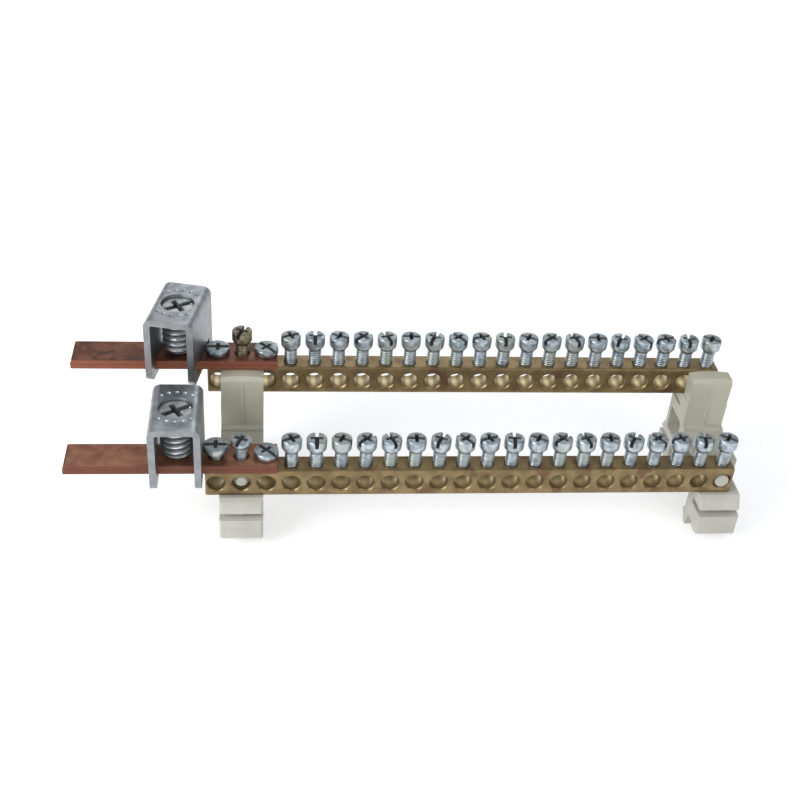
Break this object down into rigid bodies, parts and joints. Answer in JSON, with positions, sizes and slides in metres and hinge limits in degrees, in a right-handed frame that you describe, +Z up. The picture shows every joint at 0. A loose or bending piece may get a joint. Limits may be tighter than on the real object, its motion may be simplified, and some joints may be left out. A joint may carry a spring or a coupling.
{
  "type": "neutral terminal bar",
  "caption": "Stepped pair of drilled brass neutral bars with clamp screws, copper tails with box lugs, and moulded snap-in supports.",
  "frame": {"origin": "on the surface that the support feet stand on, under the centre of the bounding box", "axes": "+X along the bars away from the copper tails, +Y from the lower to the upper bar, +Z up"},
  "size_m": [0.2084, 0.0542, 0.0636],
  "materials": {
    "brass_bar": "extruded and drilled brass, dull with bright chamfers",
    "copper_tail": "rolled copper, reddish brown",
    "zinc_screw": "zinc-plated steel, bluish",
    "brass_screw": "yellowish brown plated screw",
    "zinc_strap": "zinc-plated bent steel strap",
    "support_plastic": "cream moulded polyamide"
  },
  "bodies": {
    "root": {"front_bar": "brass_bar", "front_clamp_screws": "zinc_screw", "front_lug_frame": "zinc_strap", "front_lug_screw": "zinc_screw", "front_tail_lower_strip": "copper_tail", "front_tail_screw_left": "zinc_screw", "front_tail_screw_right": "zinc_screw", "front_tail_screw_small": "zinc_screw", "front_tail_upper_strip": "copper_tail", "left_support": "support_plastic", "rear_bar": "brass_bar", "rear_clamp_screws": "zinc_screw", "rear_lug_frame": "zinc_strap", "rear_lug_screw": "zinc_screw", "rear_tail_lower_strip": "copper_tail", "rear_tail_screw_left": "zinc_screw", "rear_tail_screw_right": "zinc_screw", "rear_tail_screw_small": "brass_screw", "rear_tail_upper_strip": "copper_tail", "right_support": "support_plastic"}
  },
  "joints": []
}
